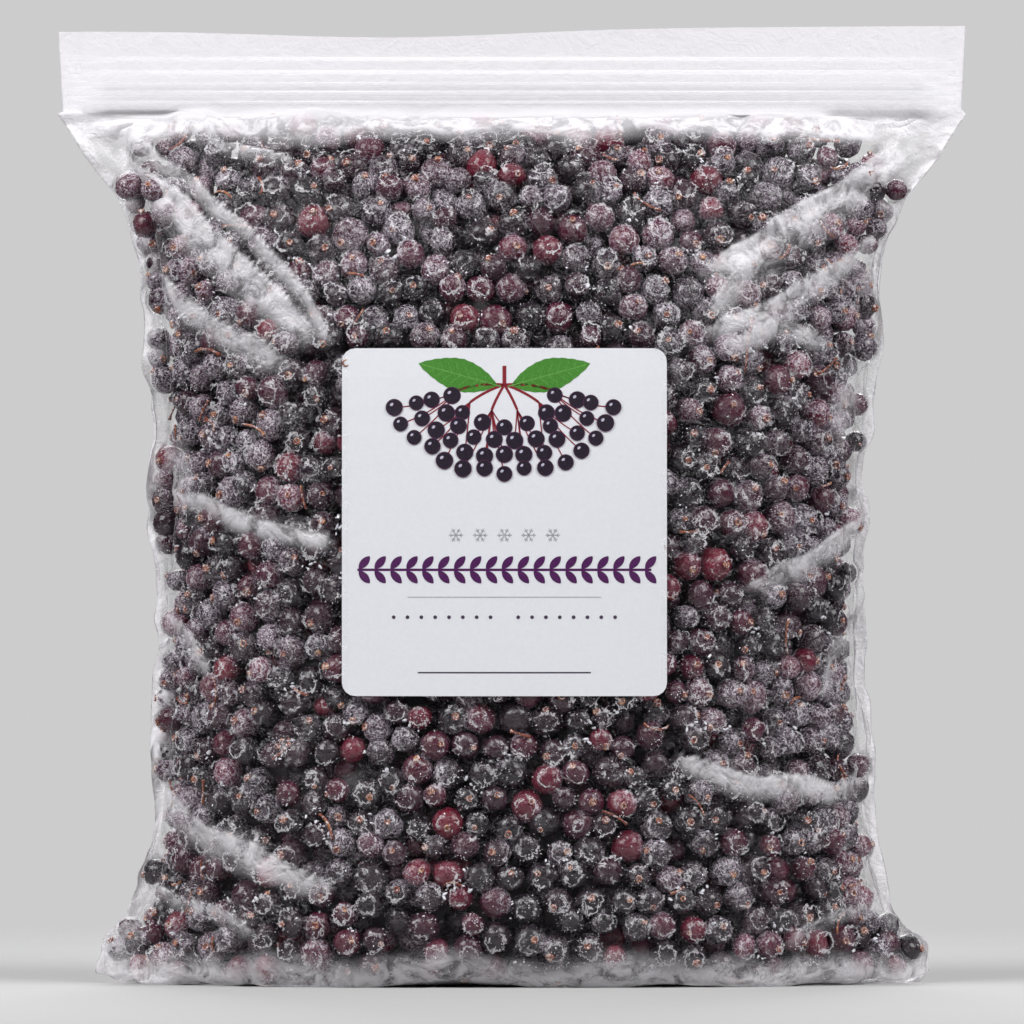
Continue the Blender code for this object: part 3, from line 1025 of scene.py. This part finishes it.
def buildLabel():
    paperTree = treeOf(nodes["label"].data)
    low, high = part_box("label")
    middle = (low.x + high.x) / 2
    inks = {}

    def ink(name):
        return inks.setdefault(name, bmesh.new())

    def blot(name, order, x, z, wide, tall, turn=0.0, pointed=False, segments=20):
        made = bmesh.ops.create_circle(ink(name), cap_ends=True, segments=segments, radius=1)["verts"]
        for v in made:
            if pointed:
                v.co.y = math.copysign((1 - v.co.x ** 2) ** 0.8, v.co.y) if abs(v.co.y) > 1e-4 else 0
            flat = Matrix.Rotation(turn, 2) @ Vector((v.co.x * wide, v.co.y * tall))
            v.co = (x + flat.x, order, z + flat.y)

    def stroke(name, order, start, end, width, sag=0.0):
        start, end = Vector(start), Vector(end)
        side = Vector((-(end - start).y, (end - start).x)).normalized()
        steps = 2 + int((end - start).length / 0.0015)
        for v in bmesh.ops.create_grid(ink(name), x_segments=steps, y_segments=1, size=1)["verts"]:
            t = (v.co.x + 1) / 2
            flat = start.lerp(end, t) + side * (v.co.y * width / 2 + 4 * sag * t * (1 - t))
            v.co = (flat.x, order, flat.y)

    def leaf(x, z, size, turn):
        way = Vector((math.cos(turn), math.sin(turn)))
        across = Vector((-way.y, way.x))
        at = Vector((x, z))
        for v in bmesh.ops.create_grid(ink("leaf"), x_segments=28, y_segments=6, size=1)["verts"]:
            reach = max(1 - abs(v.co.x) ** 1.7, 0) ** 0.85 * (0.40 - 0.06 * v.co.x) + 0.008 * math.sin(v.co.x * 60)
            flat = at + way * size * v.co.x + across * size * v.co.y * max(reach, 0)
            v.co = (flat.x, 1, flat.y)
        stroke("vein", 2, at - way * size * 1.10, at + way * size * 0.90, size * 0.028)
        for k in range(-3, 4):
            root = at + way * size * (k * 0.22 - 0.08)
            reach = size * 0.30 * (1 - (k * 0.24) ** 2) ** 0.8
            for hand in (-1, 1):
                stroke("vein", 2, root, root + (way * 0.75 + across * hand).normalized() * reach, size * 0.013)

    def umbel(x, z):
        # hanging evenly from one stem, the lower rows in front
        top = Vector((x, z))
        random = np.random.default_rng(41)
        branches = [top + Vector((math.cos(a) * 0.0135, math.sin(a) * 0.0075)) for a in np.linspace(-2.95, -0.19, 6)]
        for node in branches:
            stroke("stem", 1, top, node, 0.00075, sag=(node.x - x) * 0.05)
        for row, (count, reach) in enumerate(((7, 0.0125), (10, 0.0170), (13, 0.0215), (15, 0.0262))):
            for k in range(count):
                turn = -math.pi / 2 + 1.32 * (2 * k / (count - 1) - 1)
                size = random.uniform(0.00205, 0.00245)
                tip = top + Vector((math.cos(turn) * 1.22, math.sin(turn) * 0.98)) * reach * random.uniform(0.94, 1.05)
                node = min(branches, key=lambda b: (b - tip).length)
                stroke("stem", 2, node, tip, 0.00034, sag=(node.x - tip.x) * 0.06)
                order = 3 + row * 3 + (k % 2) * 1.4
                blot("rim", order, tip.x, tip.y, size * 1.05, size * 1.05)
                blot("dark", order + 0.4, tip.x, tip.y, size * 0.95, size * 0.95)
                blot("shine", order + 0.8, tip.x - size * 0.32, tip.y + size * 0.36, size * 0.24, size * 0.17, 0.7, segments=10)

    picture = low.z + 0.0900
    stroke("stem", 1, (middle, picture + 0.0055), (middle, picture), 0.0011)
    umbel(middle, picture)
    for hand in (-1, 1):
        leaf(middle + hand * 0.0135, picture + 0.0030, 0.0118, math.pi / 2 - hand * 1.30)

    band = low.z + 0.0365  # leafy border where a name would stand
    stroke("purple", 1, (middle - 0.0425, band), (middle + 0.0425, band), 0.0007)
    for k in range(-9, 10):
        for hand in (-1, 1):
            blot("purple", 2, middle + k * 0.0046 + 0.0009, band + hand * 0.0021, 0.0024, 0.00115, hand * 0.85, pointed=True, segments=16)
    flakes = low.z + 0.0465
    for k in range(-2, 3):
        at = Vector((middle + k * 0.0070, flakes))
        for arm in range(6):
            way = Vector((math.cos(arm * math.pi / 3), math.sin(arm * math.pi / 3)))
            stroke("grey", 1, at, at + way * 0.0021, 0.00030)
            for hand in (-1, 1):
                twig = Matrix.Rotation(hand * 0.9, 2) @ way
                stroke("grey", 1, at + way * 0.0012, at + way * 0.0012 + twig * 0.0007, 0.00024)
    stroke("grey", 1, (middle - 0.0280, low.z + 0.0286), (middle + 0.0280, low.z + 0.0286), 0.00022)
    for k in range(-8, 9):
        if k:
            blot("ink", 1, middle + k * 0.0040, low.z + 0.0228, 0.00055, 0.00055, segments=12)
    stroke("ink", 1, (middle - 0.0250, low.z + 0.0068), (middle + 0.0250, low.z + 0.0068), 0.00040)

    for name, bm in inks.items():
        for v in bm.verts:
            v.co.y = ray(paperTree, (v.co.x, -0.2, v.co.z), (0, 1, 0)).y - labelPrint["lift"] * (1 + v.co.y * 0.45)
        bmesh.ops.recalc_face_normals(bm, faces=bm.faces)
        for face in bm.faces:
            if face.normal.y > 0:
                face.normal_flip()
        paint = Paint("print_" + name)
        tone = paint.cloud(1800, detail=2)
        colour = labelPrint[name]
        shade = paint.blend(tone.between(0.35, 0.7) * 0.5, colour, tuple(min(c * 1.5 + 0.012, 1) for c in colour[:3]) + (1,))
        piece = finishMesh("label_" + name, bm, paint.finish(paint.surface({"Base Color": shade, "Roughness": 0.42})), smooth=False)
        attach(piece, "root")


buildLabel()
print("label printed")


def buildHeart():
    # the inner berries as one near-black mass without frost, painted shade that shows dark between the outer berries
    bm = bmesh.new()
    bm.from_mesh(nodes["berry_bed"].data)
    bmesh.ops.remove_doubles(bm, verts=bm.verts, dist=1e-6)
    bmesh.ops.subdivide_edges(bm, edges=bm.edges, cuts=1, use_grid_fill=True)
    bmesh.ops.scale(bm, vec=(0.86, 0.74, 0.91), verts=bm.verts)
    bmesh.ops.translate(bm, vec=(0, 0, 0.012), verts=bm.verts)
    for v in bm.verts:
        v.co += noise.noise_vector(v.co / 0.009) * 0.003
    paint = Paint("deepBerriesPaintedShade")
    colour = paint.blend(paint.cloud(260).between(0.4, 0.7), (0.006, 0.003, 0.006, 1), (0.03, 0.008, 0.016, 1))
    heart = finishMesh("berries_heart", bm, paint.finish(paint.surface({"Base Color": colour, "Roughness": 0.6})))
    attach(heart, "root")


buildHeart()


def filmFinish():
    paint = Paint("clearFilm")
    ice, milk, gap, crease = (paint.share(key) for key in ("ice", "milk", "gap", "crease"))
    facing = paint.node("ShaderNodeLayerWeight", None, {"Blend": 0.5}, output="Facing")
    fine = paint.cloud(900, detail=1)
    ripple = paint.cloud(95, detail=3, roughness=0.6, distortion=1.6)
    speck = paint.cloud(420, detail=3, roughness=0.7, distortion=1.0)
    bump = paint.bump((speck * 0.8 + ripple * 1.6) * (1 - milk), 0.8, 0.0009)
    clear = paint.node("ShaderNodeBsdfTransparent", None, {0: (0.985, 0.985, 0.985, 1)})
    shine = paint.surface({"Base Color": (0.95, 0.92, 0.97, 1), "Metallic": 1.0, "Roughness": 0.19, "Normal": bump})
    glint = facing ** 4.0 * 0.36 + 0.018
    white = paint.surface({"Base Color": (0.88, 0.86, 0.90, 1), "Roughness": 0.40, "Normal": bump})
    streak = paint.cloud(230, detail=2, roughness=0.7, distortion=2.5)
    # the ice share carries frost, and with it the painted highlights of the patches and of the sheets beside the folds
    sheet = ice.between(0.12, 0.95) * (streak * 0.22 + ripple * 0.78).between(0.36, 0.58, 0.26, 0.84)
    grains = (ice * 0.30 + speck + fine * 0.5 - 1.02).between(0.02, 0.12) * 0.6
    touch = thread(gap + (speck - 0.5) * 2.4 + (fine - 0.5) * 0.8, 1.05, 0.04, 0.22) * 0.55
    webs = touch * (ripple + ice * 0.5).between(0.44, 0.60)
    # white along each fold's crease, partly frost and partly a painted highlight on the crease
    foldFrostAndHighlight = crease.between(0.56, 0.90) * (speck * 0.4 + ripple * 0.6).between(0.40, 0.54, 0.06, 0.78)
    cover = sheet.atLeast(grains).atLeast(webs).atLeast(foldFrostAndHighlight).atLeast(milk).atMost(0.95)
    return paint.finish(paint.mixShader(cover, paint.mixShader(glint, clear, shine), white))


# white patches on the film, partly frost and partly painted highlight where the film's creases would catch the light
frostAndHighlightPatches = (
    # x, height, half length, half width, slope in degrees, strength
    (-0.104, 0.205, 0.020, 0.006, -72, 0.50),
    (0.070, 0.208, 0.013, 0.005, 20, 0.45),
    (-0.098, 0.150, 0.012, 0.006, -80, 0.50),
    (-0.082, 0.038, 0.020, 0.006, -30, 0.45),
    (0.098, 0.170, 0.014, 0.005, 75, 0.50),
)

filmFolds = (
    # how far it stands out, the white sheet beside it (partly frost, partly painted highlight): width and strength,
    # then the places it runs through: x, height
    (0.0017, 0.0050, 0.75, (-0.125, 0.2530), (-0.107, 0.2465), (-0.100, 0.2405), (-0.087, 0.2305), (-0.0765, 0.2215), (-0.062, 0.2055), (-0.053, 0.1910)),
    (0.0016, 0.0110, 0.95, (-0.109, 0.2400), (-0.095, 0.2290), (-0.084, 0.2170), (-0.074, 0.2085), (-0.062, 0.1960)),
    (0.0011, 0.0080, 0.70, (-0.112, 0.2160), (-0.100, 0.2060), (-0.088, 0.1950), (-0.070, 0.1850)),
    (0.0012, 0.0040, 0.50, (-0.098, 0.2520), (-0.084, 0.2455), (-0.066, 0.2400)),
    (0.0017, 0.0060, 0.70, (0.059, 0.1995), (0.065, 0.2085), (0.084, 0.2190), (0.104, 0.2320), (0.118, 0.2440), (0.131, 0.2530)),
    (0.0016, 0.0110, 0.92, (0.064, 0.2140), (0.078, 0.2230), (0.094, 0.2330), (0.106, 0.2420)),
    (0.0011, 0.0070, 0.75, (0.060, 0.1930), (0.074, 0.1990), (0.090, 0.2080), (0.104, 0.2180)),
    (0.0010, 0.0070, 0.80, (0.066, 0.1890), (0.078, 0.1950), (0.088, 0.1900)),
    (0.0011, 0.0060, 0.80, (-0.105, 0.1440), (-0.088, 0.1420), (-0.071, 0.1360), (-0.055, 0.1320)),
    (0.0009, 0.0045, 0.60, (-0.104, 0.1120), (-0.094, 0.1040), (-0.088, 0.0930)),
    (0.0011, 0.0080, 0.85, (0.073, 0.1200), (0.090, 0.1290), (0.104, 0.1380)),
    (0.0009, 0.0050, 0.55, (0.090, 0.0890), (0.094, 0.0990), (0.104, 0.1050)),
    (0.0012, 0.0070, 0.85, (0.054, 0.0680), (0.072, 0.0600), (0.093, 0.0590), (0.104, 0.0650)),
    (0.0012, 0.0080, 0.80, (-0.103, 0.0580), (-0.088, 0.0460), (-0.072, 0.0380), (-0.058, 0.0330)),
    (0.0010, 0.0050, 0.55, (-0.112, 0.0300), (-0.094, 0.0260), (-0.078, 0.0180)),
    (0.0010, 0.0050, 0.55, (0.080, 0.0150), (0.096, 0.0230), (0.114, 0.0260)),
)
foldRuns = [np.array(part) for part in zip(*[
    (start, (end[0] - start[0], end[1] - start[1]), (rise, wide, strength))
    for rise, wide, strength, *stops in filmFolds for start, end in zip(stops, stops[1:])])]


# how strongly a place lies in one of the white patches: frost and painted highlight together
def patchAt(x, height, lump):
    best = 0
    for atX, atHeight, long, wide, slope, strength in frostAndHighlightPatches:
        turn = math.radians(slope)
        dx, dz = x - atX, height - atHeight
        along, across = dx * math.cos(turn) + dz * math.sin(turn), dz * math.cos(turn) - dx * math.sin(turn)
        away = math.hypot(along / long, across / wide) + lump * 0.7
        best = max(best, min(max(1.35 - away, 0) * 0.95, 1) * strength)
    return best


def foldAt(x, height):  # the nearest fold's rise, how far off it is, and the white sheet below it, partly frost and partly painted highlight
    start, run, kind = foldRuns
    dx, dz = x - start[:, 0], height - start[:, 1]
    t = np.clip((dx * run[:, 0] + dz * run[:, 1]) / (run ** 2).sum(1), 0, 1)
    away = np.hypot(dx - t * run[:, 0], dz - t * run[:, 1])
    nearest = int(away.argmin())
    below = np.sign(run[:, 0]) * (run[:, 0] * dz - run[:, 1] * dx) < 0
    sheet = kind[:, 2] * np.clip(1.25 - away / kind[:, 1], 0, 1) * np.where(below, 1, np.clip(1 - away / 0.0012, 0, 1))
    return kind[nearest, 0], float(away[nearest]), float(sheet.max())


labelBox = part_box("label")


def labelGap(place):  # how far to the side of the label a place is
    low, high = labelBox
    if place.y > 0:
        return 1
    return max(low.x - place.x, place.x - high.x, low.z - place.z, place.z - high.z, 0)


def finishFilm():
    keys = ("ice", "milk", "gap", "crease")
    layers = {key: filmMesh.verts.layers.float.new(key) for key in keys}
    place = filmMesh.verts.layers.float_vector["flatPlace"]
    tree = treeOfPoints(berryPlaces)
    half, mouth = bagFilm["flatHalfWidth"], bagFilm["mouth"]
    top = max(v.co.z for v in filmMesh.verts)
    for v in filmMesh.verts:
        gap = 0.02
        for spot, i, away in tree.find_range(v.co, 0.012):
            gap = min(gap, away - berryRadii[i])
            if away < berryRadii[i] + 0.0003:
                v.co += (v.co - spot).normalized() * (berryRadii[i] + 0.0003 - away)
        side = half - abs(v[place].x)
        lump = noise.noise(v.co / 0.024) * 0.6 + noise.noise(v.co / 0.008) * 0.3
        wander = noise.noise_vector(v.co / 0.018) * 0.0022
        x, height = (v.co.x + wander.x) * (1 if v[place].y < 0 else -1), v.co.z + wander.z
        rise, off, sheet = foldAt(x, height)
        inBody = v.co.z < mouth - 0.0015
        if inBody and side > 0.004:
            slack = min((side - 0.004) / 0.012, 1) * min((mouth - v.co.z) / 0.006, 1) * min(labelGap(v.co) / 0.006, 1)
            v.co += v.normal * (rise * max(1 - off / 0.0042, 0) ** 1.6 * slack)
            if v.co.z > 0.012:
                v.co += v.normal * (max(noise.noise(v.co / 0.0065), 0) * 0.0007 * slack)
        edge = max(0, 1 - side / 0.024) * 0.78
        band = min(max((v.co.z - 0.2450 + lump * 0.006) / 0.005, 0), 1) * 0.95
        away = min(max((gap - 0.003) / 0.006, 0), 1) * 0.40
        foot = min(max((0.013 + lump * 0.006 - v.co.z) / 0.008, 0), 1) * 0.70
        # the patches and the sheets beside the folds go into the ice share as white that is partly frost, partly
        # painted highlight
        patch = max(patchAt(x, height, lump), min(max(0, lump - 0.26), 0.4), min(sheet * (1 + lump * 0.5), 1))
        v[layers["milk"]] = max(0.10 * max(0, 1 - side / 0.02), band * 0.52) if inBody else 0.72
        v[layers["ice"]] = min(max(band, edge + lump * 0.25, away, foot, patch, 0), 1) if inBody else 0
        v[layers["gap"]] = gap * 1000 if inBody else 20
        v[layers["crease"]] = max(1 - off / 0.0020, 0) * min(0.90 + lump * 0.6, 1) if inBody and side > 0.003 else 0
        if v.co.z > mouth:
            lift = (v.co.z - mouth) / (top - mouth)
            v.co.z -= lift * (bagFilm["lipDip"] * math.exp(-((v.co.x + 0.034) / 0.05) ** 2)
                              + bagFilm["lipTilt"] * (0.5 - v.co.x / (2 * half)))
    film = finishMesh("film_bag", filmMesh, filmFinish())
    film.visible_shadow = film.visible_diffuse = False  # clear film hardly dims the light
    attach(film, "root")
    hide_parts("bag_film")


finishFilm()
print("film finished")


def paperFinish():
    paint = Paint("labelPaper")
    fibre = paint.cloud(900, detail=4)
    tone = paint.blend(fibre.between(0.3, 0.7), (0.725, 0.735, 0.775, 1), (0.745, 0.755, 0.790, 1))
    return paint.finish(paint.surface({"Base Color": tone, "Roughness": 0.42, "Normal": paint.bump(fibre, 0.06, 0.0001)}))


nodes["label"].data.materials.clear()
nodes["label"].data.materials.append(paperFinish())
